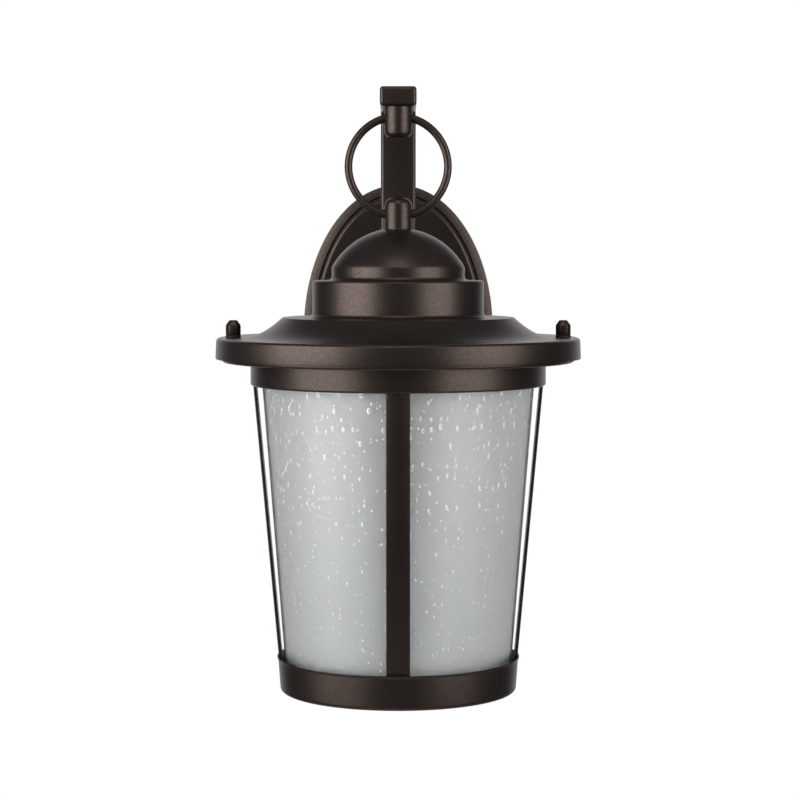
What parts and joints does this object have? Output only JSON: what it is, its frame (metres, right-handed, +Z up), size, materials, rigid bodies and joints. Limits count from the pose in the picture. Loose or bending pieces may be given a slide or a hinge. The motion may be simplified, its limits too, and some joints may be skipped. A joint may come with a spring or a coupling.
{
  "type": "outdoor wall lantern",
  "caption": "Outdoor wall lantern: tapered seeded glass in a strip cage under a domed roof, hung by a ring from a bent arm on an oval wall canopy.",
  "frame": {"origin": "centre of the mounting bar's back face, on the wall plane", "axes": "+Z up, +Y into the wall, -Y out towards the viewer, +X to the right as seen from the front"},
  "size_m": [0.2032, 0.2396, 0.3363],
  "materials": {
    "bronze_paint": "satin dark bronze powder coat with fine metallic fleck",
    "zinc_steel": "zinc plated steel",
    "green_screw": "green dyed steel",
    "seeded_glass": "clear glass with small seed bubbles",
    "frosted_glass": "etched, frosted white glass",
    "foam": "closed cell foam",
    "black_rubber": "matt black rubber",
    "porcelain": "glazed porcelain",
    "brass": "bright pressed brass",
    "bulb_cap_metal": "pressed aluminium",
    "bulb_glass": "white coated bulb glass",
    "black_lead": "black lead insulation",
    "white_lead": "white lead insulation",
    "green_lead": "green lead insulation",
    "orange_plastic": "orange moulded plastic",
    "yellow_plastic": "yellow moulded plastic"
  },
  "bodies": {
    "wall_mount": {"canopy": "bronze_paint", "canopy_gasket": "foam", "mounting_bar": "zinc_steel", "canopy_stud_left": "zinc_steel", "canopy_stud_right": "zinc_steel", "stud_locknut_left": "zinc_steel", "stud_locknut_right": "zinc_steel", "canopy_cap_nut_left": "bronze_paint", "canopy_cap_nut_right": "bronze_paint", "ground_screw": "green_screw", "arm": "bronze_paint", "arm_screw_left": "zinc_steel", "arm_screw_right": "zinc_steel", "upper_knob": "bronze_paint", "canopy_grommet": "black_rubber", "wire_nut_black": "orange_plastic", "wire_nut_white": "yellow_plastic", "supply_lead_black": "black_lead", "supply_lead_white": "white_lead", "supply_lead_green": "green_lead"},
    "ring": {"hanger_ring": "bronze_paint"},
    "lantern": {"lower_knob": "bronze_paint", "roof_nipple": "zinc_steel", "roof_locknut": "zinc_steel", "roof": "bronze_paint", "cage_pan": "bronze_paint", "upper_ring": "bronze_paint", "base_ring": "bronze_paint", "cage_strip_left": "bronze_paint", "cage_strip_right": "bronze_paint", "cage_strip_front": "bronze_paint", "cage_strip_back": "bronze_paint", "outer_glass": "seeded_glass", "glass_liner": "frosted_glass", "glass_gasket": "black_rubber", "cage_stud_left": "zinc_steel", "cage_stud_right": "zinc_steel", "cap_nut_washer_left": "black_rubber", "cap_nut_washer_right": "black_rubber", "lampholder_cap": "zinc_steel", "lampholder": "porcelain", "screw_shell": "brass", "centre_contact": "brass", "lamp_lead_black": "black_lead", "lamp_lead_white": "white_lead", "lamp_lead_green": "green_lead", "collar_grommet": "black_rubber"},
    "left_cap_nut": {"cap_nut_left": "bronze_paint"},
    "right_cap_nut": {"cap_nut_right": "bronze_paint"},
    "bulb": {"bulb_cap": "bulb_cap_metal", "bulb_glass": "bulb_glass"}
  },
  "joints": [
    {"name": "ring_swing", "type": "hinge", "parent": "wall_mount", "child": "ring", "pos_m": [0, -0.138, 0.1231], "axis": [1, 0, 0], "range_deg": [-8, 4]},
    {"name": "lantern_swing", "type": "hinge", "parent": "ring", "child": "lantern", "pos_m": [0, -0.138, 0.06818], "axis": [1, 0, 0], "range_deg": [-10, 4]},
    {"name": "left_cap_nut_turn", "type": "hinge", "parent": "lantern", "child": "left_cap_nut", "pos_m": [-0.0919, -0.138, 0], "axis": [0, 0, 1], "continuous": true},
    {"name": "right_cap_nut_turn", "type": "hinge", "parent": "lantern", "child": "right_cap_nut", "pos_m": [0.0919, -0.138, 0], "axis": [0, 0, 1], "continuous": true},
    {"name": "bulb_turn", "type": "hinge", "parent": "lantern", "child": "bulb", "pos_m": [0, -0.138, 0], "axis": [0, 0, 1], "continuous": true}
  ]
}
